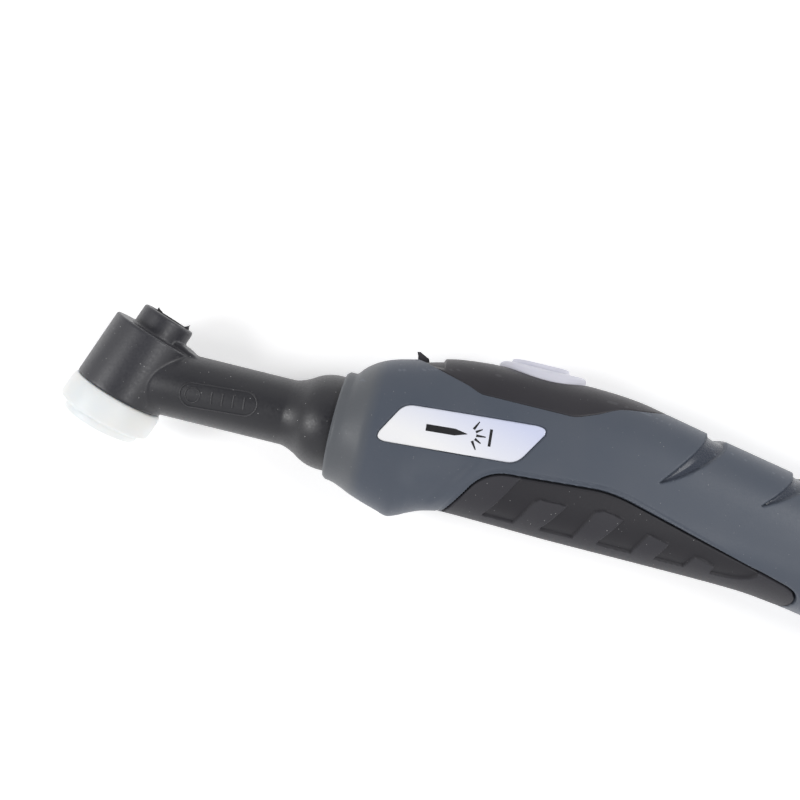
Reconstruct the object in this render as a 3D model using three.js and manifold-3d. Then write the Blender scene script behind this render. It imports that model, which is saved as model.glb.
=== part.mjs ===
// A water-cooled TIG welding torch, lying on its side.
//
// Millimetres. While the torch is built, the origin is where the head's axis crosses the neck's.
// +X runs along the neck from the head to the handle, +Y is the side of the trigger button, and
// Z is measured from the mid-plane where the two handle shells meet. The last lines move the
// whole torch so that the origin is under the middle of it, on the surface it lies on.
import * as THREE from "three";
import { mergeVertices } from "three/addons/utils/BufferGeometryUtils.js";
import Module from "manifold-3d";

const wasm = await Module();
wasm.setup();

// ---------------------------------------------------------------- driving dimensions
const GAP = 0.3; // clearance between pieces that touch
const FINE = 28; // facets round a large turned piece
const COARSE = 14; // facets round a small turned piece

const HEAD_LEAN = 19.3; // degrees that the head's axis leans back from square to the neck
const BARREL_R = 10.5;
const BARREL_FRONT = -5.45; // along the head's axis, which points to the back cap
const BARREL_BACK = 10.65;
const BOSS_R = 6.5;
const BOSS_TOP = 16.1;
const CORE_R = 6.7;
const CORE_FRONT = -9;
const CORE_SHOULDER = 8.7;
const CORE_TOP = 15;
const COLLET_THREAD_R = 4.9;
const CAP_THREAD_R = 4.4;

const GASKET_R = 11;
const GASKET_STEP = -11.7;
const GASKET_FRONT_R = 9;
const GASKET_FRONT = -14;
const GASKET_MOUTH_R = 5.6;

const NECK_R = 7.9;
const NECK_BORE_R = 5.6;
const COLLAR_R = 11.5;
const COLLAR_GROOVE_R = 9.5;
const COLLAR_GROOVE = [60, 63];
const NECK_END = 66;

const NOSE_FRONT = 50.2;
const WALL = 3; // handle shells
const CAVITY_START = 66.3;
const CAVITY_END = 216.5;

const REAR_CENTRE = [225, -12.6];
const REAR_TILT = -10; // degrees that the handle's rear end points down
const GROMMET_R = 9.7;
const GROMMET_FLANGE_R = 11.5;
const GROMMET_HOLE_R = 8;
const BULKHEAD = 7; // thickness of the handle's rear wall

const PAD_THICK = 1.6;
const PAD_RECESS = 1.9;
const LABEL_SUNK = 0.3;
const LABEL_THICK = 0.8;
const LABEL_RECESS = 1.4;
const NOTCH_DEPTH = 0.8;

const BUTTON_X = 95.35;
const BUTTON_A = 10.45; // half length of the oval button
const BUTTON_B = 8.2; // half width
const BUTTON_RIM = 0.85; // how far the retaining rim stands out under the cover
const COVER_CEILING = 20;
const DECK_TOP = 15.9; // the carrier's deck, which the spring stands on
const DECK_THICK = 1.5;
const DECK_HALF_LENGTH = 9.4;
const DECK_HALF_WIDTH = 9.1;
const CARRIER_FOOT = 7.6;
const SWITCH_LENGTH = 12.8;
const SWITCH_HEIGHT = 6.5;
const SWITCH_WIDTH = 5.8;

// Outline of the handle in side view and its half width, as [x, value] pairs.
const HANDLE_TOP = smoothCurve([
  [50.2, 12.4], [50.9, 12.9], [52.2, 12.9], [54.1, 14.8], [56.2, 16.4], [58.5, 17.6],
  [61.5, 18.6], [66, 19.7], [71, 21], [76, 22], [84, 22.7], [95, 22.95], [106, 22.95],
  [112, 22.75], [118, 22.2], [125, 20.9], [136.5, 18.6], [158.5, 14.4], [232, 0.3],
]);
const HANDLE_BOTTOM = smoothCurve([
  [50.2, -12.7], [50.9, -13.2], [52.2, -13.4], [57.9, -15.5], [64.2, -17.4], [66.8, -18.1],
  [69.3, -17.3], [71, -16.4], [75, -14.8], [79.6, -14], [90, -14.2], [105, -14.6],
  [125, -14.8], [140, -15], [150, -15.3], [160.5, -16.4], [168.6, -17.7], [232, -27.9],
]);
const HANDLE_SIDE = smoothCurve([
  [50.2, 12.5], [50.9, 13], [52.2, 13.1], [57.5, 14.4], [62, 14.75], [100, 14.75],
  [140, 14.5], [232, 14],
]);
const HANDLE_POWER = smoothCurve([
  [50.2, 2], [52.2, 2], [62, 2.5], [100, 2.7], [160, 2.5], [232, 2.2],
]);
const HANDLE_STATIONS = [
  52.2, 54.5, 57.5, 62, 66.8, 69.5, 74, 80, 92, 106, 114, 125, 138, 156, 180, 206,
];
const HANDLE_SIDES = 24; // points round one section

// Lower edge of the switch cover, in side view.
const COVER_EDGE = smoothCurve([
  [65.3, 19.5], [71.6, 17.2], [77.6, 15.4], [81.5, 14.1], [101, 14.1], [105.9, 15.6],
  [112.6, 18.5], [118.8, 19.5], [125.6, 20.75],
]);
const COVER_START = 65.3;
const COVER_END = 125.6;

// ---------------------------------------------------------------- shape helpers
// A smooth curve through [x, value] points, level where it turns, so it never overshoots them.
function smoothCurve(points) {
  const slope = (i) => (points[i + 1][1] - points[i][1]) / (points[i + 1][0] - points[i][0]);
  const last = points.length - 1;
  const tangents = points.map((_, i) => {
    const before = slope(Math.max(i - 1, 0));
    const after = slope(Math.min(i, last - 1));
    return before * after <= 0 ? 0 : (2 * before * after) / (before + after);
  });
  return (x) => {
    const i = Math.max(0, Math.min(last - 1, points.findIndex((p) => p[0] > x) - 1));
    const k = x >= points[last][0] ? last - 1 : i;
    const span = points[k + 1][0] - points[k][0];
    const t = (x - points[k][0]) / span;
    const h = t * t * (3 - 2 * t);
    return (
      points[k][1] * (1 - h) +
      points[k + 1][1] * h +
      span * t * (1 - t) * (tangents[k] * (1 - t) - tangents[k + 1] * t)
    );
  };
}

// A closed geometry as a solid that can be joined and cut.
function solid(geometry) {
  const bare = new THREE.BufferGeometry();
  bare.setAttribute("position", geometry.getAttribute("position"));
  bare.setIndex(geometry.index);
  const merged = mergeVertices(bare, 1e-4);
  const corners = [];
  for (let i = 0; i < merged.index.count; i += 3) {
    const [a, b, c] = merged.index.array.slice(i, i + 3);
    if (a !== b && b !== c && c !== a) corners.push(a, b, c);
  }
  return new wasm.Manifold(
    new wasm.Mesh({
      numProp: 3,
      vertProperties: new Float32Array(merged.attributes.position.array),
      triVerts: new Uint32Array(corners),
    }),
  );
}

// The geometry of a solid, for a THREE.Mesh.
function geometryOf(body) {
  const mesh = body.getMesh();
  const geometry = new THREE.BufferGeometry();
  geometry.setAttribute("position", new THREE.BufferAttribute(new Float32Array(mesh.vertProperties), 3));
  geometry.setIndex(new THREE.BufferAttribute(new Uint32Array(mesh.triVerts), 1));
  geometry.computeVertexNormals();
  return geometry;
}

function turnedGeometry(profile, facets) {
  return new THREE.LatheGeometry(profile.map(([r, h]) => new THREE.Vector2(r, h)), facets);
}

// A profile of [radius, height] turned round the head's axis, in the torch's frame.
function turnedOnHead(profile, facets = FINE) {
  return solid(turnedGeometry(profile, facets).rotateZ(THREE.MathUtils.degToRad(-HEAD_LEAN)));
}

// A profile of [radius, x] turned round a line along X through (y, z).
function turnedOnX(profile, [y, z] = [0, 0], facets = FINE) {
  return solid(turnedGeometry(profile, facets).rotateZ(-Math.PI / 2).translate(0, y, z));
}

// A profile of [radius, x] turned round the tilted axis of the handle's rear end.
function turnedOnRear(profile) {
  const geometry = turnedGeometry(profile, FINE).rotateZ(-Math.PI / 2);
  geometry.rotateZ(THREE.MathUtils.degToRad(REAR_TILT)).translate(...REAR_CENTRE, 0);
  return solid(geometry);
}

// A profile of [radius, z] turned round a line along Z through (x, y).
function turnedOnZ(profile, [x, y], facets = COARSE) {
  return solid(turnedGeometry(profile, facets).rotateX(Math.PI / 2).translate(x, y, 0));
}

// A profile of [radius, y] turned round an upright line through x on the mid-plane.
function turnedOnY(profile, x, facets = COARSE) {
  return solid(turnedGeometry(profile, facets).translate(x, 0, 0));
}

function rod(radius, from, to) {
  return [[0, from], [radius, from], [radius, to], [0, to]];
}

function block([x0, x1], [y0, y1], [z0, z1]) {
  const box = new THREE.BoxGeometry(x1 - x0, y1 - y0, z1 - z0);
  return solid(box.translate((x0 + x1) / 2, (y0 + y1) / 2, (z0 + z1) / 2));
}

// A side-view outline pushed through the whole width of the torch, or from z0 to z1.
function slab(outline, [z0, z1] = [-20, 20]) {
  const corners = (points) => points.map(([x, y]) => new THREE.Vector2(x, y));
  const shape = outline instanceof THREE.Shape ? outline : new THREE.Shape(corners(outline));
  const options = { depth: z1 - z0, bevelEnabled: false, curveSegments: 4 };
  const geometry = new THREE.ExtrudeGeometry(shape, options);
  return solid(geometry.translate(0, 0, z0));
}

// An oval column round the button's centre line.
function oval(a, b, y0, y1) {
  const shape = new THREE.Shape().absellipse(0, 0, a, b, 0, 2 * Math.PI);
  const options = { depth: y1 - y0, bevelEnabled: false, curveSegments: 16 };
  const geometry = new THREE.ExtrudeGeometry(shape, options);
  return solid(geometry.rotateX(-Math.PI / 2).translate(BUTTON_X, y0, 0));
}

// One section of the handle: a superellipse between its top, bottom and sides, inset all round.
function handleSection(x, inset) {
  const top = HANDLE_TOP(x) - inset;
  const bottom = HANDLE_BOTTOM(x) + inset;
  const side = HANDLE_SIDE(x) - inset;
  const bend = (value) => Math.sign(value) * Math.abs(value) ** (2 / HANDLE_POWER(x));
  return Array.from({ length: HANDLE_SIDES }, (_, i) => {
    const turn = (2 * Math.PI * i) / HANDLE_SIDES;
    const y = (top + bottom) / 2 + ((top - bottom) / 2) * bend(Math.cos(turn));
    return [x, y, side * bend(Math.sin(turn))];
  });
}

// The handle's outer form, inset by a thickness, between two stations.
function handleForm(inset, from = NOSE_FRONT, to = 232) {
  const stations = [from, ...HANDLE_STATIONS.filter((x) => x > from + 0.5 && x < to - 0.5), to];
  const rings = stations.map((x) => handleSection(x, inset));
  const geometry = new THREE.BufferGeometry();
  geometry.setAttribute("position", new THREE.Float32BufferAttribute(rings.flat(2), 3));
  const index = [];
  for (let s = 0; s + 1 < rings.length; s += 1) {
    for (let i = 0; i < HANDLE_SIDES; i += 1) {
      const a = s * HANDLE_SIDES + i;
      const b = s * HANDLE_SIDES + ((i + 1) % HANDLE_SIDES);
      index.push(a, b, a + HANDLE_SIDES, b, b + HANDLE_SIDES, a + HANDLE_SIDES);
    }
  }
  const end = (rings.length - 1) * HANDLE_SIDES;
  for (let i = 1; i + 1 < HANDLE_SIDES; i += 1) {
    index.push(0, i + 1, i);
    index.push(end, end + i, end + i + 1);
  }
  geometry.setIndex(index);
  return solid(geometry);
}

// The skin of the handle between two depths, within a side-view outline.
function skin(outline, outerDepth, innerDepth) {
  const inner = handleForm(innerDepth, NOSE_FRONT - 1, 233);
  return handleForm(outerDepth).subtract(inner).intersect(slab(outline));
}

// ---------------------------------------------------------------- side-view outlines
// The grip pad's outline from the bottom of its front edge round to the bottom of its rear
// edge, grown outwards by a margin.
function padOutline(margin) {
  const m = margin;
  const shape = new THREE.Shape();
  shape.moveTo(79.2 - m, -25);
  shape.lineTo(79.2 - m, -13.9);
  shape.lineTo(83.4 - 0.8 * m, -6.2 + 0.6 * m);
  shape.quadraticCurveTo(86.2, -1.9 + m, 91.6, -1.8 + m);
  shape.lineTo(108.5, -0.5 + m);
  shape.quadraticCurveTo(113.2, -0.1 + m, 118.5, -1.5 + m);
  shape.lineTo(155.5, -11.2 + m);
  shape.quadraticCurveTo(159.6 + m, -12.3, 160.1 + m, -15.2);
  shape.lineTo(160.6 + m, -25);
  return shape;
}

// The label plate: a slanted strip with well rounded corners, grown outwards by a margin.
function labelOutline(margin) {
  const m = margin;
  const shape = new THREE.Shape();
  shape.moveTo(67.3, 8.25 + m);
  shape.lineTo(93.6, 10.25 + m);
  shape.quadraticCurveTo(96.9 + m, 10.5, 96.2 + m, 8.6);
  shape.lineTo(92.9 + m, 3.2);
  shape.quadraticCurveTo(91.6, 1.05 - m, 89.3, 0.9 - m);
  shape.lineTo(62.9, -1 - m);
  shape.quadraticCurveTo(60 - m, -1.15, 61 - m, 1);
  shape.lineTo(64 - m, 6.4);
  shape.quadraticCurveTo(65.1, 8.1 + m, 67.3, 8.25 + m);
  return shape;
}

// A crescent scoop that crosses the handle's top and sweeps forward to a tip on its side. Each
// edge runs straight and then bends over the top, and the rear one bows towards the tip.
function notchOutline({ tip, front, frontTop, rearTop, rear, bow }) {
  const over = frontTop[1] + 6;
  const shape = new THREE.Shape();
  shape.moveTo(...tip);
  shape.lineTo(...front);
  shape.quadraticCurveTo((front[0] + frontTop[0]) / 2, frontTop[1], ...frontTop);
  shape.lineTo(frontTop[0], over);
  shape.lineTo(rearTop[0], over);
  shape.lineTo(...rearTop);
  shape.quadraticCurveTo((rear[0] + rearTop[0]) / 2, rearTop[1], ...rear);
  shape.quadraticCurveTo(...bow, ...tip);
  return shape;
}
const NOTCHES = [
  {
    tip: [123.2, 4.4], front: [133, 15.7], frontTop: [137.3, 18.4],
    rearTop: [141.4, 17.4], rear: [137.9, 15.6], bow: [128.9, 7],
  },
  {
    tip: [145.9, 4.8], front: [154.5, 12.4], frontTop: [158.6, 14.4],
    rearTop: [163, 13.5], rear: [157.3, 11.5], bow: [150.6, 7.1],
  },
  {
    tip: [170.3, 3.8], front: [177, 9], frontTop: [180, 10.5],
    rearTop: [184, 9.6], rear: [179.5, 8], bow: [174.2, 5],
  },
];

// Everything above the switch cover's lower edge, lowered by a margin.
function coverOutline(margin) {
  const steps = 18;
  const edge = Array.from({ length: steps + 1 }, (_, i) => {
    const x = COVER_START - margin + ((COVER_END - COVER_START + 2 * margin) * i) / steps;
    return [x, COVER_EDGE(Math.min(Math.max(x, COVER_START), COVER_END)) - margin];
  });
  return [...edge, [COVER_END + margin, 30], [COVER_START - margin, 30]];
}

// ---------------------------------------------------------------- materials
function material(color, roughness, metalness = 0) {
  return new THREE.MeshStandardMaterial({ color, roughness, metalness });
}
const SLATE = material(0x5a636b, 0.5);
const CHARCOAL = material(0x3d3b3f, 0.45);
const GRIP_RUBBER = material(0x3a383c, 0.75);
const HEAD_BLACK = material(0x37373b, 0.65);
const GASKET_WHITE = material(0xeef1f2, 0.4);
const BUTTON_GREY = material(0xc9c7d2, 0.45);
const LABEL_SILVER = material(0xe4e6ee, 0.25, 0.4);
const BRASS = material(0xb08d4a, 0.35, 1);
const COPPER = material(0xb06a4a, 0.35, 1);
const STEEL = material(0x9a9da1, 0.35, 1);
const SWITCH_BLACK = material(0x202124, 0.5);
const PLUNGER_RED = material(0xa03028, 0.5);

const torch = new THREE.Group();
function piece(name, finish, body) {
  const mesh = new THREE.Mesh(geometryOf(body), finish);
  mesh.name = name;
  torch.add(mesh);
}

// ---------------------------------------------------------------- head and neck
// One insulating moulding: the barrel with the back-cap boss, and the neck that flares into the
// collar held by the handle.
function headMoulding() {
  const barrel = turnedOnHead([
    [0, BARREL_FRONT], [BARREL_R, BARREL_FRONT], [BARREL_R, BARREL_BACK], [BOSS_R, BARREL_BACK],
    [BOSS_R, BOSS_TOP - 0.8], [BOSS_R - 0.8, BOSS_TOP], [0, BOSS_TOP],
  ]);
  const neck = turnedOnX([
    [0, 0], [NECK_R, 0], [NECK_R, 39.5], [8.7, 41.6], [10, 43.9], [11, 45.9], [COLLAR_R, 47.4],
    [COLLAR_R, COLLAR_GROOVE[0]], [COLLAR_GROOVE_R, COLLAR_GROOVE[0]],
    [COLLAR_GROOVE_R, COLLAR_GROOVE[1]], [COLLAR_R, COLLAR_GROOVE[1]], [COLLAR_R, NECK_END],
    [0, NECK_END],
  ]);
  const fillet = slab([[9, 9.6], [9, 5], [14.4, 5], [14.4, 7.6]], [-3.5, 3.5]);
  const coreBore = turnedOnHead([
    [0, BARREL_FRONT - 1], [CORE_R + GAP, BARREL_FRONT - 1], [CORE_R + GAP, CORE_SHOULDER + GAP],
    [5.5, CORE_SHOULDER + GAP], [5.5, CORE_TOP + GAP], [CAP_THREAD_R + 0.1, CORE_TOP + GAP],
    [CAP_THREAD_R + 0.1, BOSS_TOP + 1], [0, BOSS_TOP + 1],
  ]);
  const neckBore = turnedOnX(rod(NECK_BORE_R, 2, NECK_END + 1));
  const seat = turnedOnHead(rod(BARREL_R, GASKET_FRONT, BARREL_FRONT));
  return barrel.add(neck.subtract(seat)).add(fillet).subtract(coreBore).subtract(neckBore);
}

// The brass core: threaded for the collet body in front and the back cap behind, with a side
// spigot that the gas, water and power tubes are brazed into.
function torchCore() {
  const body = turnedOnHead([
    [0, CORE_FRONT], [CORE_R, CORE_FRONT], [CORE_R, CORE_SHOULDER], [5.2, CORE_SHOULDER],
    [5.2, CORE_TOP], [0, CORE_TOP],
  ]);
  const spigot = turnedOnX(rod(NECK_BORE_R - GAP, 3, 12));
  const bore = turnedOnHead([
    [0, CORE_FRONT - 1], [COLLET_THREAD_R, CORE_FRONT - 1], [COLLET_THREAD_R, 2],
    [CAP_THREAD_R, 3], [CAP_THREAD_R, CORE_TOP + 1], [0, CORE_TOP + 1],
  ]);
  return body.add(spigot).subtract(bore);
}

function cupGasket() {
  const back = BARREL_FRONT - GAP;
  return turnedOnHead([
    [CORE_R + GAP, back], [CORE_R + GAP, CORE_FRONT - GAP], [GASKET_MOUTH_R, CORE_FRONT - GAP],
    [GASKET_MOUTH_R, GASKET_FRONT], [GASKET_FRONT_R - 0.4, GASKET_FRONT],
    [GASKET_FRONT_R, GASKET_FRONT + 0.4], [GASKET_FRONT_R, GASKET_STEP], [GASKET_R - 0.8, GASKET_STEP],
    [GASKET_R, GASKET_STEP + 0.8], [GASKET_R, back], [CORE_R + GAP, back],
  ]);
}

piece("head_moulding", HEAD_BLACK, headMoulding());
piece("torch_core", BRASS, torchCore());
piece("cup_gasket", GASKET_WHITE, cupGasket());

// ---------------------------------------------------------------- tubes and unions
// Each line leaves the core side by side in the neck, spreads apart in the handle and ends in a
// brass union with a barbed tail for its hose.
const LINES = {
  gas: { radius: 1.6, neck: [2.7, 2.3], handle: [4.9, 5.4], end: 112, union: 4.4 },
  water: { radius: 1.6, neck: [2.7, -2.3], handle: [4.9, -5.4], end: 118, union: 4.4 },
  power: { radius: 2.1, neck: [-2.5, 0], handle: [-5, 0], end: 114, union: 5 },
};

function tube({ radius, neck, handle, end }) {
  const path = new THREE.CurvePath();
  const at = (x, [y, z]) => new THREE.Vector3(x, y, z);
  path.add(new THREE.LineCurve3(at(12.3, neck), at(68, neck)));
  path.add(new THREE.CubicBezierCurve3(at(68, neck), at(80, neck), at(86, handle), at(98, handle)));
  path.add(new THREE.LineCurve3(at(98, handle), at(end, handle)));
  const ring = new THREE.Shape().absarc(0, 0, radius, 0, 2 * Math.PI);
  ring.holes.push(new THREE.Path().absarc(0, 0, radius - 0.6, 0, 2 * Math.PI, true));
  const options = { extrudePath: path, steps: 16, bevelEnabled: false, curveSegments: 4 };
  return solid(new THREE.ExtrudeGeometry(ring, options));
}

function pipeUnion({ radius, handle, end, union }) {
  const start = end - 6;
  const hex = turnedOnX(rod(union, start, start + 7), handle, 6);
  const barb = (x) => [[0.62 * union, x], [0.8 * union, x], [0.62 * union, x + 2.6]];
  const barbs = [9, 12, 15].flatMap((x) => barb(start + x));
  const profile = [
    [0, start + 6], [0.62 * union, start + 6], ...barbs, [0.55 * union, start + 19],
    [0, start + 19],
  ];
  const tail = turnedOnX(profile, handle, COARSE);
  const socket = turnedOnX(rod(radius + GAP, start - 1, end + GAP), handle, COARSE);
  const bore = turnedOnX(rod(0.38 * union, start, start + 20), handle, COARSE);
  return hex.add(tail).subtract(socket).subtract(bore);
}

for (const [name, line] of Object.entries(LINES)) {
  piece(name + "_tube", COPPER, tube(line));
  piece(name + "_union", BRASS, pipeUnion(line));
}

// ---------------------------------------------------------------- handle shells
const SCREWS = [[71, -9.6], [120, 13.4], [180, 1.5], [203, -16.6]];
const SCREW_HEAD = -9.4; // z of the underside of each screw's head
const BOSS_OUTER_R = 3.1;

// The ribs that the switch carrier stands on, across the inside of the handle.
function carrierRibs() {
  const reach = SWITCH_LENGTH / 2 + GAP + 0.75;
  const shelf = (x) => block([x - 1, x + 1], [4.6, CARRIER_FOOT - GAP], [-14, 14]);
  const passage = block([80, 110], [0, 8], [-7.4, 7.4]);
  const shelves = shelf(BUTTON_X - reach).add(shelf(BUTTON_X + reach));
  return shelves.subtract(passage).intersect(handleForm(WALL - 0.5));
}

function shellPair() {
  const frontBore = turnedOnX([
    [0, NOSE_FRONT - 1], [COLLAR_R + GAP, NOSE_FRONT - 1], [COLLAR_R + GAP, COLLAR_GROOVE[0] + GAP],
    [COLLAR_GROOVE_R + GAP, COLLAR_GROOVE[0] + GAP], [COLLAR_GROOVE_R + GAP, COLLAR_GROOVE[1] - GAP],
    [COLLAR_R + GAP, COLLAR_GROOVE[1] - GAP], [COLLAR_R + GAP, CAVITY_START + 0.5], [0, CAVITY_START + 0.5],
  ]);
  const rearCut = turnedOnRear(rod(40, 0, 30));
  const rearBore = turnedOnRear(rod(GROMMET_R + GAP, -BULKHEAD - 1, 1));
  const rearRoom = turnedOnRear(rod(GROMMET_R + 1.3, -BULKHEAD - 9, -BULKHEAD));
  let pair = handleForm(0).subtract(handleForm(WALL, CAVITY_START, CAVITY_END)).add(carrierRibs());
  for (const place of SCREWS) {
    const boss = turnedOnZ(rod(BOSS_OUTER_R, -13, 13), place).intersect(handleForm(WALL - 0.5));
    pair = pair.add(boss);
  }
  pair = pair.subtract(frontBore).subtract(rearCut).subtract(rearBore).subtract(rearRoom);
  pair = pair.subtract(slab(coverOutline(GAP)));
  pair = pair.subtract(skin(padOutline(GAP), -1, PAD_RECESS));
  pair = pair.subtract(skin(labelOutline(GAP), -1, LABEL_RECESS));
  for (const notch of NOTCHES) pair = pair.subtract(skin(notchOutline(notch), -1, NOTCH_DEPTH));
  for (const place of SCREWS) {
    pair = pair.subtract(turnedOnZ(rod(2.9, -20, SCREW_HEAD), place));
    pair = pair.subtract(turnedOnZ(rod(1.5, -20, 9), place));
  }
  return pair;
}

const LEFT = [GAP / 2, 20];
const RIGHT = [-20, -GAP / 2];
const half = (span) => block([40, 240], [-40, 40], span);

const shells = shellPair();
const pads = skin(padOutline(-GAP), 0, PAD_THICK);
const labels = skin(labelOutline(-0.1), LABEL_SUNK, LABEL_SUNK + LABEL_THICK);
for (const [side, span] of [["left", LEFT], ["right", RIGHT]]) {
  piece(side + "_shell", SLATE, shells.intersect(half(span)));
  piece(side + "_grip_pad", GRIP_RUBBER, pads.intersect(half(span)));
  piece(side + "_label_plate", LABEL_SILVER, labels.intersect(half(span)));
}

// A pan-head screw with a cross recess, driven from the right-hand side.
function shellScrew(place) {
  const top = SCREW_HEAD - GAP;
  const profile = [
    [0, top - 1.8], [2, top - 1.8], [2.5, top - 1.2], [2.5, top], [1.2, top], [1.2, 8], [0, 8],
  ];
  const body = turnedOnZ(profile, place);
  const [x, y] = place;
  const slot = (w, h) => block([x - w, x + w], [y - h, y + h], [top - 3, top - 0.9]);
  return body.subtract(slot(1.5, 0.3)).subtract(slot(0.3, 1.5));
}
SCREWS.forEach((place, i) => piece("shell_screw_" + (i + 1), STEEL, shellScrew(place)));

piece(
  "cable_grommet",
  SWITCH_BLACK,
  turnedOnRear([
    [GROMMET_HOLE_R, -BULKHEAD - 2], [GROMMET_R + 1, -BULKHEAD - 2], [GROMMET_R + 1, -BULKHEAD - GAP],
    [GROMMET_R, -BULKHEAD - GAP], [GROMMET_R, GAP], [GROMMET_FLANGE_R, GAP], [GROMMET_FLANGE_R, 2],
    [GROMMET_FLANGE_R - 0.8, 2.8], [GROMMET_HOLE_R, 2.8], [GROMMET_HOLE_R, -BULKHEAD - 2],
  ]),
);

// ---------------------------------------------------------------- trigger switch
function switchCover() {
  const cap = handleForm(0).intersect(slab(coverOutline(0)));
  const room = oval(BUTTON_A + BUTTON_RIM + GAP, BUTTON_B + BUTTON_RIM + GAP, 10, COVER_CEILING);
  const hole = oval(BUTTON_A + GAP, BUTTON_B + GAP, 10, 30);
  const deckReach = DECK_HALF_LENGTH + GAP;
  const deckSpan = [BUTTON_X - deckReach, BUTTON_X + deckReach];
  const deckRoom = block(deckSpan, [10, DECK_TOP + GAP], [-DECK_HALF_WIDTH - GAP, DECK_HALF_WIDTH + GAP]);
  return cap.subtract(room).subtract(hole).subtract(deckRoom);
}

// The button: an oval cap with a raised pad, a rim that keeps it under the cover, a well for the
// return spring and a stem over the microswitch.
function triggerButton() {
  const body = oval(BUTTON_A, BUTTON_B, 18.4, 23.9);
  const rim = oval(BUTTON_A + BUTTON_RIM, BUTTON_B + BUTTON_RIM, 18.4, COVER_CEILING - GAP);
  const raised = oval(7, 5, 23, 25.3);
  const well = turnedOnY(rod(4.7, 18, 21.2), BUTTON_X);
  const stem = turnedOnY(rod(1.4, 17.1, 22), BUTTON_X);
  return body.add(rim).add(raised).subtract(well).add(stem);
}

// The carrier: a deck under the cover with two legs that clip the microswitch between them.
function switchCarrier() {
  const reach = SWITCH_LENGTH / 2 + GAP;
  const span = [BUTTON_X - DECK_HALF_LENGTH, BUTTON_X + DECK_HALF_LENGTH];
  const width = [-DECK_HALF_WIDTH, DECK_HALF_WIDTH];
  const deck = block(span, [DECK_TOP - DECK_THICK, DECK_TOP], width);
  const leg = (x) => block([x, x + DECK_THICK], [CARRIER_FOOT, DECK_TOP], width);
  const legs = leg(BUTTON_X - reach - DECK_THICK).add(leg(BUTTON_X + reach));
  return deck.add(legs).subtract(turnedOnY(rod(1.9, 10, 20), BUTTON_X));
}

const switchTop = DECK_TOP - DECK_THICK - GAP;
const switchSpan = [BUTTON_X - SWITCH_LENGTH / 2, BUTTON_X + SWITCH_LENGTH / 2];
const switchHeight = [switchTop - SWITCH_HEIGHT, switchTop];
const switchBody = block(switchSpan, switchHeight, [-SWITCH_WIDTH / 2, SWITCH_WIDTH / 2]);
const plungerHole = turnedOnY(rod(1.5, 11.5, 20), BUTTON_X);

// A helix of round wire, flattened at neither end, between the deck and the button.
class SpringWire extends THREE.Curve {
  getPoint(t) {
    const turn = 2 * Math.PI * 4 * t;
    const y = DECK_TOP + 0.5 + (21.2 - DECK_TOP - 1) * t;
    return new THREE.Vector3(BUTTON_X + 3.4 * Math.cos(turn), y, 3.4 * Math.sin(turn));
  }
}
const wire = new THREE.Shape().absarc(0, 0, 0.3, 0, 2 * Math.PI);
const springOptions = { extrudePath: new SpringWire(), steps: 56, bevelEnabled: false, curveSegments: 3 };

piece("switch_cover", CHARCOAL, switchCover());
piece("trigger_button", BUTTON_GREY, triggerButton());
piece("button_spring", STEEL, solid(new THREE.ExtrudeGeometry(wire, springOptions)));
piece("switch_carrier", SWITCH_BLACK, switchCarrier());
piece("microswitch_body", SWITCH_BLACK, switchBody.subtract(plungerHole));
piece("microswitch_plunger", PLUNGER_RED, turnedOnY(rod(1.2, 13.2, 16.8), BUTTON_X));
[-4.4, 4.4].forEach((offset, i) => {
  const x = BUTTON_X + offset;
  const under = switchTop - SWITCH_HEIGHT - GAP;
  const blade = block([x - 0.3, x + 0.3], [under - 2.6, under], [-1.4, 1.4]);
  piece("switch_terminal_" + (i + 1), BRASS, blade);
});

// ---------------------------------------------------------------- the torch as it lies
const bounds = new THREE.Box3().setFromObject(torch, true);
const middle = bounds.getCenter(new THREE.Vector3());
torch.position.set(-middle.x, -middle.y, -bounds.min.z);

const part = new THREE.Group();
part.add(torch);
export default part;
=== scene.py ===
"""A water-cooled TIG welding torch lying on its side, on a pale studio floor.

Shapes are worked out in millimetres in the torch's own axes: the origin is where the head's axis
crosses the neck's, +X runs along the neck to the handle, +Y is the button's side and Z is
measured from the plane where the two handle shells meet. place() moves them into the frame.
"""
import math

import bmesh
import bpy
import numpy as np
from mathutils import Matrix, Vector
from mathutils.kdtree import KDTree


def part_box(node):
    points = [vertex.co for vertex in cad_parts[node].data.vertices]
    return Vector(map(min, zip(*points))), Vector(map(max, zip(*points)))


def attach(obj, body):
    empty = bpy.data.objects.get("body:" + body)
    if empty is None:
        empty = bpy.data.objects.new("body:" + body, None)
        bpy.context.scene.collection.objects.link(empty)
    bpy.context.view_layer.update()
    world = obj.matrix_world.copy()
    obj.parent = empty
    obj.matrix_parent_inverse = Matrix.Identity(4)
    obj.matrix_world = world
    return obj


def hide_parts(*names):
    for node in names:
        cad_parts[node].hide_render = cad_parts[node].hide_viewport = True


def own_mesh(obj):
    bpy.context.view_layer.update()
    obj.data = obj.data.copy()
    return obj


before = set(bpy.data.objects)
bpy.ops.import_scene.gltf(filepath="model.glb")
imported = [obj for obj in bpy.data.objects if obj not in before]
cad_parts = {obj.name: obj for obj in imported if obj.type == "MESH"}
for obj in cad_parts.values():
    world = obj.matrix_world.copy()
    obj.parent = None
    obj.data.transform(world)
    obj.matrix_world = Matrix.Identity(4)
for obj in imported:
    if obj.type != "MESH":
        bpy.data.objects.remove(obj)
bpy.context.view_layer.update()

MM = 0.001
BUTTON_X = 95.35  # the button's centre
SWITCH_TOP = 14.1  # the top of the microswitch's body

switch_low, switch_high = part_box("microswitch_body")
ORIGIN = Vector((
    (switch_low.x + switch_high.x) / 2 - BUTTON_X * MM,
    switch_high.y - SWITCH_TOP * MM,
    (switch_low.z + switch_high.z) / 2,
))


def place(points):
    """Millimetres in the torch's axes as metres in the frame."""
    return np.asarray(points, float) * MM + np.array(ORIGIN)


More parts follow.
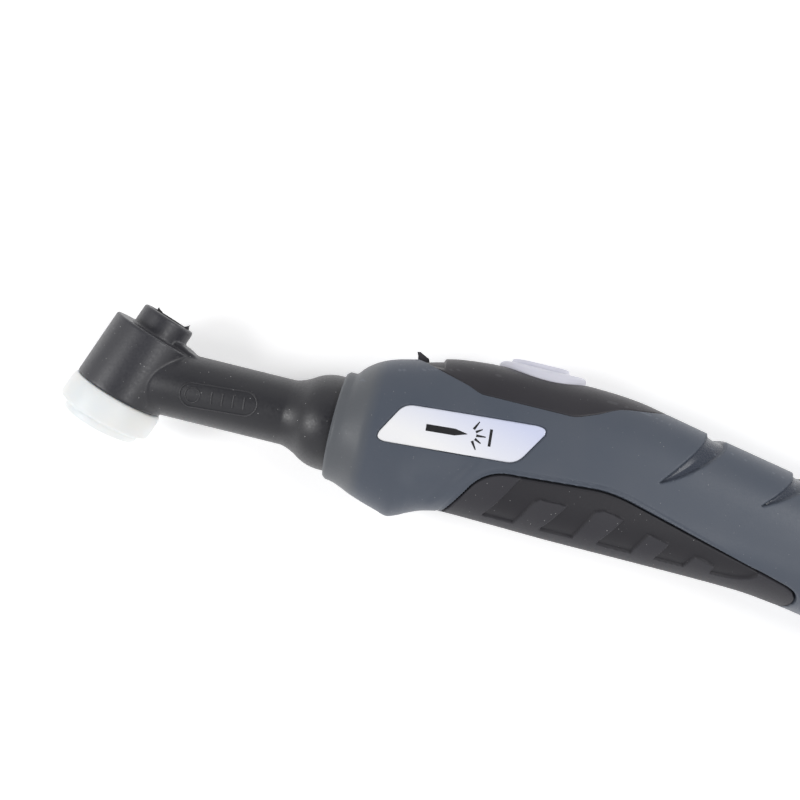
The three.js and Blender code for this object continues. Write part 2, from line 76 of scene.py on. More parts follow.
# ---- camera, floor and light
AIM = Vector((63.6, 9.24, 0))  # the middle of the picture
AIM_TO_EYE = Vector((0.0065, -0.05, 1))
EYE_DISTANCE = 165
ROLL = math.radians(13.87)
PICTURE_SIZE = 800
PIXELS_PER_MM = 4.178  # in the plane where the shells meet
SENSOR_WIDTH = 36
CLIP_START = 0.01

FLOOR_SIZE = 6
FLOOR_GLOW = 0.38
WORLD_STRENGTH = 0.63
# The world's brightness from its walls (first) to straight overhead.
WORLD_STOPS = [(0.55, (1, 1, 1, 1)), (0.98, (0.16, 0.16, 0.17, 1))]
# Each soft box: its name, place, aim, width and power.
SOFT_BOXES = [
    ("box_left", (-0.42, -0.10, 0.40), (-0.05, 0, 0.01), 0.2, 0.95),
    ("box_right", (0.34, 0.10, 0.42), (-0.05, 0, 0.01), 0.2, 0.8),
    ("box_front", (0.18, -0.15, 0.40), (-0.09, 0, 0.01), 0.12, 0.3),
]


def add_camera():
    toward = AIM_TO_EYE.normalized()
    right = Vector((math.cos(ROLL), math.sin(ROLL), 0))
    right = (right - toward * right.dot(toward)).normalized()
    up = toward.cross(right)
    eye = place(AIM + toward * EYE_DISTANCE)
    data = bpy.data.cameras.new("camera")
    data.sensor_width = SENSOR_WIDTH
    data.lens = SENSOR_WIDTH * PIXELS_PER_MM * EYE_DISTANCE / PICTURE_SIZE
    data.clip_start = CLIP_START
    camera = bpy.data.objects.new("camera", data)
    bpy.context.scene.collection.objects.link(camera)
    turn = Matrix((right, up, toward)).transposed().to_4x4()
    camera.matrix_world = Matrix.Translation(Vector(eye)) @ turn
    bpy.context.scene.camera = camera


def add_light(name, position, target, size, power):
    data = bpy.data.lights.new(name, "AREA")
    data.shape = "DISK"
    data.size = size
    data.energy = power
    light = bpy.data.objects.new(name, data)
    bpy.context.scene.collection.objects.link(light)
    light.location = position
    aim = Vector(target) - Vector(position)
    light.rotation_euler = aim.to_track_quat("-Z", "Y").to_euler()


def set_sockets(tree, node, values):
    """Gives a node's sockets their constants, or links them to other sockets."""
    for key, value in values.items():
        if isinstance(value, bpy.types.NodeSocket):
            tree.links.new(value, node.inputs[key])
        else:
            node.inputs[key].default_value = value


def add_node(tree, kind, values, **settings):
    """Adds a shader node with its settings and its sockets' values."""
    node = tree.nodes.new("ShaderNode" + kind)
    for key, value in settings.items():
        setattr(node, key, value)
    set_sockets(tree, node, values)
    return node


def add_stage():
    bpy.ops.mesh.primitive_plane_add(size=FLOOR_SIZE)
    floor = bpy.context.object
    floor.name = "studio_floor"
    paper = bpy.data.materials.new("studio_paper")
    paper.use_nodes = True
    set_sockets(paper.node_tree, paper.node_tree.nodes["Principled BSDF"], {
        "Base Color": (0.98, 0.98, 0.985, 1), "Roughness": 0.9, "Specular IOR Level": 0.1,
        "Emission Color": (1, 1, 1, 1), "Emission Strength": FLOOR_GLOW,
    })
    floor.data.materials.append(paper)
    bpy.context.scene.view_settings.view_transform = "Standard"
    light_tent()
    for box in SOFT_BOXES:
        add_light(*box)


def light_tent():
    """A white tent that is bright at its walls and dim overhead, where the camera looks in."""
    world = bpy.data.worlds.new("light_tent")
    world.use_nodes = True
    tree = world.node_tree
    direction = add_node(tree, "TexCoord", {})
    parts = add_node(tree, "SeparateXYZ", {"Vector": direction.outputs["Generated"]})
    shade = add_node(tree, "ValToRGB", {"Fac": parts.outputs["Z"]})
    for stop, (height, color) in zip(shade.color_ramp.elements, WORLD_STOPS):
        stop.position = height
        stop.color = color
    sky = {"Color": shade.outputs["Color"], "Strength": WORLD_STRENGTH}
    set_sockets(tree, tree.nodes["Background"], sky)
    bpy.context.scene.world = world


# ---- the handle's form
def smooth_curve(points):
    """A smooth curve through (x, value) points, level where it turns, as in the CAD part."""
    xs, values = np.array(points, float).T
    slopes = np.diff(values) / np.diff(xs)
    before = np.r_[slopes[0], slopes]
    after = np.r_[slopes, slopes[-1]]
    total = np.where(before + after == 0, 1, before + after)
    tangents = np.where(before * after <= 0, 0, 2 * before * after / total)

    def value(x):
        x = np.asarray(x, float)
        k = np.clip(np.searchsorted(xs, x, side="right") - 1, 0, len(xs) - 2)
        span = xs[k + 1] - xs[k]
        t = (x - xs[k]) / span
        h = t * t * (3 - 2 * t)
        bow = span * t * (1 - t) * (tangents[k] * (1 - t) - tangents[k + 1] * t)
        return values[k] * (1 - h) + values[k + 1] * h + bow

    return value


HANDLE_TOP = smooth_curve([
    (50.2, 12.4), (50.9, 12.9), (52.2, 12.9), (54.1, 14.8), (56.2, 16.4), (58.5, 17.6),
    (61.5, 18.6), (66, 19.7), (71, 21), (76, 22), (84, 22.7), (95, 22.95), (106, 22.95),
    (112, 22.75), (118, 22.2), (125, 20.9), (136.5, 18.6), (158.5, 14.4), (232, 0.3),
])
HANDLE_BOTTOM = smooth_curve([
    (50.2, -12.7), (50.9, -13.2), (52.2, -13.4), (57.9, -15.5), (64.2, -17.4), (66.8, -18.1),
    (69.3, -17.3), (71, -16.4), (75, -14.8), (79.6, -14), (90, -14.2), (105, -14.6),
    (125, -14.8), (140, -15), (150, -15.3), (160.5, -16.4), (168.6, -17.7), (232, -27.9),
])
HANDLE_SIDE = smooth_curve([
    (50.2, 12.5), (50.9, 13), (52.2, 13.1), (57.2, 14.7), (57.6, 14.77), (62, 14.77), (100, 14.75),
    (140, 14.5), (232, 14),
])
HANDLE_POWER = smooth_curve([(50.2, 2), (52.2, 2), (62, 2.5), (100, 2.7), (160, 2.5), (232, 2.2)])
COVER_EDGE = smooth_curve([
    (65.3, 19.5), (71.6, 17.2), (77.6, 15.4), (81.5, 14.1), (101, 14.1), (105.9, 15.6),
    (112.6, 18.5), (118.8, 19.5), (125.6, 20.75),
])
NOSE_FRONT = 50.2
REAR_CENTRE = np.array([225, -12.6])
REAR_TILT = math.radians(-10)
COVER_SPAN = (65.3, 125.6)
WALL = 2.6  # the shells' thickness
SEAM = 0.12  # half of the parting line between the two shells


def rear_face(y):
    """Where the handle's tilted rear end lies, at a height."""
    return REAR_CENTRE[0] - (y - REAR_CENTRE[1]) * math.tan(REAR_TILT)


def form_point(x, turn, inset=0.0):
    """A point of the handle's outer form: turn 0 is its top, a quarter its side, a half its belly."""
    top = HANDLE_TOP(x) - inset
    bottom = HANDLE_BOTTOM(x) + inset
    side = HANDLE_SIDE(x) - inset
    bend = 2 / HANDLE_POWER(x)
    across = np.sign(np.sin(turn)) * np.abs(np.sin(turn)) ** bend
    along = np.sign(np.cos(turn)) * np.abs(np.cos(turn)) ** bend
    return np.stack(np.broadcast_arrays(
        x, (top + bottom) / 2 + (top - bottom) / 2 * along, side * across), -1)


def form_turn(x, y):
    """The turn at which the form's near side has a height y."""
    top, bottom = HANDLE_TOP(x), HANDLE_BOTTOM(x)
    level = np.clip((2 * y - top - bottom) / (top - bottom), -1, 1)
    return np.arccos(np.sign(level) * np.abs(level) ** (HANDLE_POWER(x) / 2))


def form_normal(x, turn):
    """The form's outward normal, in the mid-plane on the top and belly lines."""
    step, twist = 0.02, 0.01
    crest_turn = 0.02
    inner = np.clip(turn, crest_turn, math.pi - crest_turn)
    inner = np.where(turn < 0, np.clip(turn, -math.pi + crest_turn, -crest_turn), inner)
    along = form_point(x + step, inner) - form_point(x - step, inner)
    around = form_point(x, inner + twist) - form_point(x, inner - twist)
    normal = np.cross(around, along)
    normal /= np.linalg.norm(normal, axis=-1, keepdims=True)
    crest = (np.abs(turn) < crest_turn) | (np.abs(np.abs(turn) - math.pi) < crest_turn)
    normal[..., 2] = np.where(crest, 0, normal[..., 2])
    return normal / np.linalg.norm(normal, axis=-1, keepdims=True)


def form_sheet(xs, turns):
    """A grid of the form's points and normals: one row of turns for each station."""
    base = form_point(xs[:, None], turns)
    return base, form_normal(np.broadcast_to(xs[:, None], turns.shape), turns)


def sunk(base, normal, depth):
    """A grid of the form's points, moved inwards by a depth at each point."""
    return base - normal * depth.reshape(base.shape[:2])[..., None]


def even_turns(xs, first, last, rows, samples=240):
    """For each station, turns from first to last that are evenly spaced along the surface."""
    share = np.linspace(0, 1, samples)
    turns = first[:, None] + (last - first)[:, None] * share
    points = form_point(xs[:, None], turns)
    steps = np.linalg.norm(np.diff(points, axis=1), axis=2)
    lengths = np.concatenate([np.zeros((len(xs), 1)), np.cumsum(steps, 1)], 1)
    wanted = np.linspace(0, 1, rows)
    return np.stack([np.interp(wanted * s[-1], s, t) for s, t in zip(lengths, turns)])


# ---- side-view outlines
def bend_through(start, control, end, count=10):
    """Points of a quadratic curve, without its start."""
    t = np.linspace(0, 1, count + 1)[1:, None]
    a, b, c = (np.array(p, float) for p in (start, control, end))
    return list(map(tuple, (1 - t) ** 2 * a + 2 * t * (1 - t) * b + t * t * c))


def outline(start, *steps):
    """A path of straight steps, given as one point, and curved ones, given as control and end."""
    path = [start]
    for step in steps:
        if len(step) == 1:
            path.append(step[0])
        else:
            path += bend_through(path[-1], *step)
    return path


# Outlines as (x, y) seen from the side.
LABEL = outline(
    (67.3, 8.25), [(93.6, 10.25)], [(96.9, 10.5), (96.2, 8.6)], [(92.9, 3.2)],
    [(91.6, 1.05), (89.3, 0.9)], [(62.9, -1)], [(60, -1.15), (61, 1)], [(64, 6.4)],
    [(65.1, 8.1), (67.3, 8.25)],
)
PAD_EDGE = outline(
    (79.2, -14.4), [(79.3, -13.6)], [(83.4, -6.2)], [(86.2, -1.9), (91.6, -1.8)], [(108.5, -0.5)],
    [(113.2, -0.1), (118.5, -1.5)], [(155.5, -11.2)], [(159.6, -12.3), (160.1, -15.2)],
    [(160.6, -16.8)],
)
PAD = PAD_EDGE + [(160.6, -25), (79.2, -25)]  # closed below the belly


def notch(tip, front, front_top, rear_top, rear, bow):
    """A crescent scoop from its tip on the side to its two ends over the top."""
    over = front_top[1] + 6
    front_bend = ((front[0] + front_top[0]) / 2, front_top[1])
    rear_bend = ((rear[0] + rear_top[0]) / 2, rear_top[1])
    return outline(
        tip, [front], [front_bend, front_top], [(front_top[0], over)], [(rear_top[0], over)],
        [rear_top], [rear_bend, rear], [bow, tip],
    )


SCOOPS = [
    ((122.9, 4.5), (132, 15.7), (135.8, 18.7), (139.8, 17.7), (137.3, 15.6), (128.9, 7)),
    ((145.7, 4.9), (153.5, 12.4), (157.1, 14.7), (161.4, 13.8), (156.8, 11.5), (150.6, 7.1)),
    ((170.1, 3.9), (176, 9), (178.6, 10.8), (182.5, 9.9), (179, 8), (174.2, 5)),
]
NOTCHES = [notch(*scoop) for scoop in SCOOPS]
# The sunken field of the grip pad, and the ribs left standing in it.
PAD_FIELD = outline(
    (93.9, -1), [(92.3, -3.6)], [(87.6, -12)], [(140.5, -12.3)],
    [(147.5, -12.4), (149, -10.4)], [(150.5, -6)], [(118, 2)],
)
PAD_RIBS = [
    [(94.6, -13), (94.8, -11.8), (97.5, -6.2), (98.6, -5.3), (104.7, -5.3), (100.9, -11.6),
     (100.8, -13)],
    [(108.2, -13), (108.4, -11.3), (110.9, -5), (112.8, -4.3), (117.4, -5.2), (114, -11.3),
     (114, -13)],
    [(121.7, -13), (121.9, -11), (123.5, -7), (128.5, -8.1), (127.1, -12), (127, -13)],
    [(133.6, -13), (133.8, -12), (134.9, -9.4), (139.8, -10.5), (139.9, -12.5), (139.6, -13.2)],
]


def inside(points, polygon):
    """Which points, seen from the side, are inside a polygon."""
    x, y = points[:, 0], points[:, 1]
    hit = np.zeros(len(points), bool)
    for (x0, y0), (x1, y1) in zip(polygon, polygon[1:] + polygon[:1]):
        crosses = (y0 > y) != (y1 > y)
        at = x0 + (y - y0) * (x1 - x0) / (y1 - y0 if y1 != y0 else 1)
        hit ^= crosses & (x < at)
    return hit


def tree_of(line):
    """A search tree of a line's points."""
    tree = KDTree(len(line))
    for i, p in enumerate(line):
        tree.insert(p, i)
    tree.balance()
    return tree


def around_line(points, line, reach):
    """The numbers of the points that are in a line's box, made larger by a reach."""
    low, high = line.min(0) - reach, line.max(0) + reach
    return np.nonzero(np.all((points > low) & (points < high), axis=1))[0]


def near_line(points, line, reach):
    """The distance from each point to a line of close points, up to a reach."""
    tree = tree_of(line)
    result = np.full(len(points), reach)
    for i in around_line(points, line, reach):
        result[i] = min(tree.find(points[i])[2], reach)
    return result


def depth_inside(points, polygon, reach=3.0, spacing=0.06):
    """How far inside a side-view outline points of the form are, and outside if negative."""
    line = []
    for (x0, y0), (x1, y1) in zip(polygon, polygon[1:] + polygon[:1]):
        count = max(2, int(math.hypot(x1 - x0, y1 - y0) / spacing))
        t = np.linspace(0, 1, count, endpoint=False)
        x, y = x0 + (x1 - x0) * t, y0 + (y1 - y0) * t
        on_form = (y < HANDLE_TOP(x)) & (y > HANDLE_BOTTOM(x))
        line.append(form_point(x[on_form], form_turn(x[on_form], y[on_form])))
    line = np.concatenate(line)
    within = inside(points, polygon)
    return np.where(within, 1, -1) * near_line(points, line, reach)


def ramp(value, low, high):
    """0 up to low and 1 from high on, with a smooth rise between them, in either direction."""
    t = np.clip((value - low) / (high - low), 0, 1)
    return t * t * (3 - 2 * t)


def rounded(distance, radius):
    """How deep a rounded edge dips at a distance from the edge."""
    left = np.clip(radius - distance, 0, radius)
    return radius - np.sqrt(np.maximum(radius ** 2 - left ** 2, 0))


# ---- mesh helpers
MERGE = 0.002  # points closer than this become one
ON_AXIS = 1e-6  # a radius below this is a point on the axis


def mesh_object(name, points, faces):
    """A closed mesh with its faces turned outwards, from millimetre points in the torch's axes."""
    data = bpy.data.meshes.new(name)
    data.from_pydata(place(points).tolist(), [], faces)
    shaped = bmesh.new()
    shaped.from_mesh(data)
    bmesh.ops.remove_doubles(shaped, verts=shaped.verts, dist=MERGE * MM)
    bmesh.ops.dissolve_degenerate(shaped, edges=shaped.edges, dist=MERGE / 2 * MM)
    bmesh.ops.recalc_face_normals(shaped, faces=shaped.faces)
    shaped.to_mesh(data)
    shaped.free()
    made = bpy.data.objects.new(name, data)
    bpy.context.scene.collection.objects.link(made)
    smooth(made)
    return made


def smooth(piece, angle=38):
    """Smooth shading, with edges sharper than the angle kept sharp."""
    piece.data.polygons.foreach_set("use_smooth", [True] * len(piece.data.polygons))
    piece.data.update()
    piece.data.set_sharp_from_angle(angle=math.radians(angle))


def thick_patch(name, outer, inner, coarse=1):
    """A closed solid between two grids of points. Of the inner one, each coarse-th row and column
    is kept."""
    n, m = outer.shape[:2]
    columns = sorted(set(range(0, n, coarse)) | {n - 1})
    rows = sorted(set(range(0, m, coarse)) | {m - 1})
    inner = inner[np.ix_(columns, rows)]
    points = np.concatenate([outer.reshape(-1, 3), inner.reshape(-1, 3)])
    fine = np.arange(n * m).reshape(n, m)
    rough = n * m + np.arange(len(columns) * len(rows)).reshape(len(columns), len(rows))
    faces = []
    for grid in (fine, rough[:, ::-1]):
        a, b, c, d = grid[:-1, :-1], grid[1:, :-1], grid[1:, 1:], grid[:-1, 1:]
        faces += np.stack([a, b, c, d], -1).reshape(-1, 4).tolist()

    def strip(edge, kept, other):
        """Closes the rim between the fine edge and the thinned one."""
        for j in range(len(kept) - 1):
            for i in range(kept[j], kept[j + 1]):
                faces.append([int(edge[i]), int(edge[i + 1]), int(other[j])])
            faces.append([int(edge[kept[j + 1]]), int(other[j + 1]), int(other[j])])

    strip(fine[:, 0], columns, rough[:, 0])
    strip(fine[:, -1], columns, rough[:, -1])
    strip(fine[0], rows, rough[0])
    strip(fine[-1], rows, rough[-1])
    return mesh_object(name, points, faces)


def turned(rings, facets):
    """Points and faces of a profile of (radius, height) turned round the Y axis."""
    angles = np.linspace(0, 2 * math.pi, facets, endpoint=False)
    points, faces = [], []
    for r, h in rings:
        if r < ON_AXIS:
            points.append((0, h, 0))
        else:
            points += [(r * math.cos(a), h, r * math.sin(a)) for a in angles]
    starts, at = [], 0
    for r, _ in rings:
        starts.append(at)
        at += 1 if r < ON_AXIS else facets
    for (r0, _), (r1, _), s0, s1 in zip(rings, rings[1:], starts, starts[1:]):
        for i in range(facets):
            j = (i + 1) % facets
            if r0 < ON_AXIS and r1 < ON_AXIS:
                continue
            if r0 < ON_AXIS:
                faces.append([s0, s1 + i, s1 + j])
            elif r1 < ON_AXIS:
                faces.append([s0 + i, s1, s0 + j])
            else:
                faces.append([s0 + i, s1 + i, s1 + j, s0 + j])
    return np.array(points, float), faces


def eased(profile, radius=0.4, steps=4):
    """A profile with each of its corners rounded, and its first and last points kept."""
    path = [profile[0]]
    for before, corner, after in zip(profile, profile[1:], profile[2:]):
        a, b, c = (np.array(p, float) for p in (before, corner, after))
        reach = min(radius, 0.45 * np.linalg.norm(a - b), 0.45 * np.linalg.norm(c - b))
        start = b + (a - b) / np.linalg.norm(a - b) * reach
        end = b + (c - b) / np.linalg.norm(c - b) * reach
        path.append(tuple(start))
        path += bend_through(start, b, end, steps)
    return path + [profile[-1]]


HEAD_LEAN = math.radians(19.3)


def about_head(points):
    """Turns points made round the Y axis onto the head's axis."""
    turn = np.array(Matrix.Rotation(-HEAD_LEAN, 3, "Z"))
    return points @ turn.T


def about_neck(points):
    """Turns points made round the Y axis onto the neck's axis."""
    turn = np.array(Matrix.Rotation(-math.pi / 2, 3, "Z"))
    return points @ turn.T


def about_rear(points):
    """Turns points made round the Y axis onto the axis of the handle's rear end."""
    turn = np.array(Matrix.Rotation(-math.pi / 2 + REAR_TILT, 3, "Z"))
    return points @ turn.T + np.array([*REAR_CENTRE, 0])


def closed_on_itself(profile):
    return profile + [profile[0]]


def turned_object(name, profile, to_axis, facets=96):
    points, faces = turned(profile, facets)
    return mesh_object(name, to_axis(points), faces)


def prism_faces(n):
    """The faces of a prism: n points of one end, then n points of the other."""
    sides = [[i, (i + 1) % n, n + (i + 1) % n, n + i] for i in range(n)]
    return [list(range(n)), list(range(n, 2 * n))] + sides


def combine(piece, tool, operation):
    """Joins a solid to a piece, or cuts it out, and removes the tool."""
    change = piece.modifiers.new("change", "BOOLEAN")
    change.operation = operation
    change.solver = "MANIFOLD"
    change.object = tool
    apply_modifiers(piece)
    bpy.data.objects.remove(tool)


def apply_modifiers(piece):
    """Turns what a piece's modifiers give into its mesh."""
    bpy.context.view_layer.update()
    shown = piece.evaluated_get(bpy.context.evaluated_depsgraph_get())
    data = bpy.data.meshes.new_from_object(shown)
    piece.modifiers.clear()
    piece.data = data


def near_side(piece):
    """A piece's vertices in the torch's axes, mirrored to the near side."""
    at = np.empty(3 * len(piece.data.vertices))
    piece.data.vertices.foreach_get("co", at)
    at = (at.reshape(-1, 3) - np.array(ORIGIN)) / MM
    at[:, 2] = np.abs(at[:, 2])
    return at


def mark_painted_shade_inlay(piece, share):
    """Stores how much of the material's painted shade inlay, with its own roughness, shows at each
    vertex.
    """
    painted_shade_inlay = piece.data.attributes.new("painted_shade_inlay", "FLOAT", "POINT")
    painted_shade_inlay.data.foreach_set("value", np.asarray(share, float))


def finish_piece(piece, body, slot, finish, *nodes):
    """Gives a finished piece its material and its body, and hides the nodes it stands for. slot is
    not used.
    """
    piece.data.materials.clear()
    piece.data.materials.append(finish)
    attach(piece, body)
    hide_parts(*nodes)


# ---- materials
DRIFT = 14  # the size of the patches of drifting colour
SMOOTHER, ROUGHER = 0.07, 0.09  # how far the grain changes the roughness
COAT_ROUGHNESS = 0.12
SCATTER_DEPTH = 1.6
GRAIN_DEPTH = 0.06
WORN_POINTINESS = (0.53, 0.62)
DUST_CELL = 0.85
DUST_EDGE = (0.12, 0.05)  # a speck's soft edge, as shares of its cell
DUST_FREE = 0.8  # the share of cells with no speck
DUST_COLOR = (0.75, 0.75, 0.74)


def finish_material(name, color, second, roughness, grain, bump, metal=0.0, specks=0.0,
                    coat=0.0, wear=0.0, scatter=0.0, gloss=0.3, painted_fade=None, painted_shade_inlay=None):
    """A moulded or machined surface: drifting colour, fine grain in its bump and roughness, pale
    dust specks and lighter worn edges. grain is the size of the grain in millimetres,
    painted_fade is a start, a direction and the colour of painted light that comes in along it,
    and painted_shade_inlay is the painted shade colour and the roughness of the parts marked
    with mark_painted_shade_inlay()."""
    made = bpy.data.materials.new(name)
    made.use_nodes = True
    tree = made.node_tree
    where = add_node(tree, "TexCoord", {}).outputs["Object"]

    def noise(size, detail):
        sockets = {"Scale": 1 / (size * MM), "Detail": detail, "Vector": where}
        return add_node(tree, "TexNoise", sockets).outputs["Fac"]

    def spread(value, low, high, out_low, out_high):
        ends = {"From Min": low, "From Max": high, "To Min": out_low, "To Max": out_high}
        return add_node(tree, "MapRange", {**ends, "Value": value}).outputs["Result"]

    def mixed(fraction, first, last):
        first, last = ((*c, 1) if isinstance(c, tuple) else c for c in (first, last))
        colors = {0: fraction, 6: first, 7: last}
        return add_node(tree, "Mix", colors, data_type="RGBA").outputs[2]

    def maths(operation, *values):
        return add_node(tree, "Math", dict(enumerate(values)), operation=operation).outputs[0]

    fine = noise(grain, 6)
    tone = mixed(spread(noise(DRIFT, 3), 0.3, 0.7, 0, 1), color, second)
    if painted_fade:
        start, run, far = painted_fade
        shift = add_node(tree, "VectorMath", {0: where, 1: start}, operation="SUBTRACT")
        ends = {0: shift.outputs["Vector"], 1: run}
        along = add_node(tree, "VectorMath", ends, operation="DOT_PRODUCT")
        tone = mixed(spread(along.outputs["Value"], 0, 1, 0, 1), tone, far)
    polish = spread(fine, 0.3, 0.7, roughness - SMOOTHER, roughness + ROUGHER)
    if painted_shade_inlay:
        marked = add_node(tree, "Attribute", {}, attribute_name="painted_shade_inlay").outputs["Fac"]
        tone = mixed(marked, tone, painted_shade_inlay[0])
        polish = maths("MULTIPLY_ADD", marked, painted_shade_inlay[1] - roughness, polish)
    if wear:
        pointiness = add_node(tree, "NewGeometry", {}).outputs["Pointiness"]
        worn = tuple(min(1, c * 1.5 + 0.05) for c in color)
        tone = mixed(spread(pointiness, *WORN_POINTINESS, 0, wear), tone, worn)
    if specks:
        dust = add_node(tree, "TexVoronoi", {"Scale": 1 / (DUST_CELL * MM), "Vector": where})
        chance = add_node(tree, "SeparateColor", {"Color": dust.outputs["Color"]})
        dots = spread(dust.outputs["Distance"], *DUST_EDGE, 0, specks)
        rare = spread(chance.outputs["Red"], DUST_FREE, 1.0, 0, 1)
        tone = mixed(maths("MULTIPLY", dots, rare), tone, DUST_COLOR)
    relief = {"Strength": bump, "Distance": GRAIN_DEPTH * MM, "Height": fine}
    sockets = {
        "Metallic": metal, "Specular IOR Level": gloss, "Coat Weight": coat,
        "Coat Roughness": COAT_ROUGHNESS, "Base Color": tone, "Roughness": polish,
        "Normal": add_node(tree, "Bump", relief).outputs["Normal"],
    }
    if scatter:
        sockets.update({"Subsurface Weight": scatter, "Subsurface Radius": (0.8, 0.9, 1),
                        "Subsurface Scale": SCATTER_DEPTH * MM})
    set_sockets(tree, tree.nodes["Principled BSDF"], sockets)
    return made


NOSE_HIGHLIGHT_START = tuple(place([59.5, 0, 0]))
NOSE_HIGHLIGHT_RUN = (-330, 0, 0)  # painted highlight: the nose is painted a little paler than the handle, per metre
# Painted shade darkens the scoops' floors, and a painted highlight pales the nose.
SLATE = finish_material(
    "slate_plastic", (0.083, 0.098, 0.127), (0.094, 0.107, 0.134), 0.42, 0.35, 0.2, specks=0.5,
    wear=0.35, painted_shade_inlay=((0.052, 0.061, 0.083), 0.27), painted_fade=(NOSE_HIGHLIGHT_START, NOSE_HIGHLIGHT_RUN, (0.119, 0.127, 0.140)),
)
CHARCOAL = finish_material(
    "cover_plastic", (0.033, 0.031, 0.037), (0.039, 0.037, 0.043), 0.42, 0.4, 0.25, specks=0.4,
    wear=0.3,
)
# Painted shade darkens the sunken field between the pad's ribs.
RUBBER = finish_material(
    "grip_rubber", (0.040, 0.039, 0.047), (0.047, 0.046, 0.053), 0.58, 0.25, 0.5, specks=0.9,
    wear=0.5, painted_shade_inlay=((0.027, 0.026, 0.031), 0.5),
)
HEAD_SHEEN_START = tuple(place([13, 0, 0]))
HEAD_SHEEN_RUN = (-90, 60, 0)  # painted sheen: the head is painted paler than the neck, per metre
# A painted sheen pales the barrel, and painted shade darkens the back cap's opening.
HEAD = finish_material(
    "head_compound", (0.017, 0.017, 0.022), (0.021, 0.021, 0.026), 0.4, 0.5, 0.4, specks=1.0,
    wear=0.35, gloss=0.7, painted_shade_inlay=((0.006, 0.006, 0.006), 0.7),
    painted_fade=(HEAD_SHEEN_START, HEAD_SHEEN_RUN, (0.039, 0.039, 0.047)),
)
GASKET = finish_material(
    "gasket_white", (0.89, 0.93, 0.945), (0.93, 0.93, 0.90), 0.35, 0.8, 0.2, scatter=0.4,
)
BUTTON = finish_material(
    "button_plastic", (0.70, 0.70, 0.79), (0.74, 0.74, 0.82), 0.42, 0.5, 0.2, scatter=0.1,
)
LABEL_REFLECTION_START = tuple(place([66, 2, 0]))
LABEL_REFLECTION_RUN = (18, 75, 0)  # painted reflection: a lilac reflection is painted deeper to the rear and towards the top, per metre
LABEL_FOIL = finish_material(
    "label_silver", (1.0, 1.0, 1.0), (0.97, 0.97, 1.0), 0.2, 1.2, 0.03, coat=0.4,
    painted_fade=(LABEL_REFLECTION_START, LABEL_REFLECTION_RUN, (0.71, 0.75, 0.95)),
)
INK = finish_material(
    "label_ink", (0.02, 0.02, 0.022), (0.03, 0.03, 0.033), 0.4, 0.3, 0.1,
)
BRASS = finish_material(
    "brass", (0.62, 0.43, 0.16), (0.55, 0.36, 0.14), 0.32, 0.3, 0.3, metal=1.0, wear=0.2, gloss=0.5,
)
COPPER = finish_material(
    "copper", (0.6, 0.3, 0.17), (0.5, 0.24, 0.14), 0.34, 0.4, 0.3, metal=1.0, gloss=0.5,
)
STEEL = finish_material(
    "steel", (0.5, 0.51, 0.53), (0.42, 0.43, 0.45), 0.3, 0.3, 0.25, metal=1.0, wear=0.2, gloss=0.5,
)
SWITCH_BLACK = finish_material(
    "switch_plastic", (0.018, 0.018, 0.02), (0.026, 0.026, 0.028), 0.45, 0.4, 0.3, wear=0.4,
)
PLUNGER_RED = finish_material(
    "plunger_plastic", (0.32, 0.035, 0.025), (0.36, 0.05, 0.035), 0.4, 0.4, 0.2,
)


# ---- handle shells
# Stretches of the handle and the step between stations, short where its outlines need it.
STATION_STEPS = [
    (NOSE_FRONT, 52.6, 0.2), (52.6, 59.8, 0.6), (59.8, 122, 0.32), (122, 165, 0.28),
    (165, 169.5, 0.8), (169.5, 185, 0.35), (185, 240, 1.1),
]
LAST_STATION = 229  # beyond the rear end, which is cut from it
PATCH_JOIN = 13.4  # the height at which a shell's upper and lower rows meet
UPPER_ROWS, LOWER_ROWS = 56, 170
POCKET_DEPTH = 1.9  # the grip pad's recess
LABEL_DEPTH = 0.85
GROOVE_DEPTH, GROOVE_WIDTH = 0.2, 0.27
CREASE_FOOT = (79, -6.5)
CREASE_ALONG = (0.54, 0.84)
CREASE_DEPTH = 0.5
SCOOP_DEPTH, SCOOP_DISH = 0.8, 0.22
SCREWS = [(71, -9.6), (120, 13.4), (180, 1.5), (203, -16.6)]
SCREW_SEAT = 9.4
SCREW_FLOOR = 1.4  # the wall under a screw's head
WELL_RADIUS, WELL_WALL = 3.0, 1.4


def feature_stations():
    """Stations along the handle."""
    stations = np.concatenate([np.arange(*stretch) for stretch in STATION_STEPS])
    return stations[stations <= LAST_STATION]


def cover_turn(x):
    """Where the switch cover's lower edge lies, and zero away from the cover."""
    clipped = np.clip(x, *COVER_SPAN)
    turn = form_turn(clipped, COVER_EDGE(clipped))
    return np.where((x > COVER_SPAN[0]) & (x < COVER_SPAN[1]), turn, 0)


def cover_border():
    """Close points of the cover's edge on the near side."""
    x = np.arange(COVER_SPAN[0] + 0.02, COVER_SPAN[1], 0.05)
    return form_point(x, cover_turn(x))


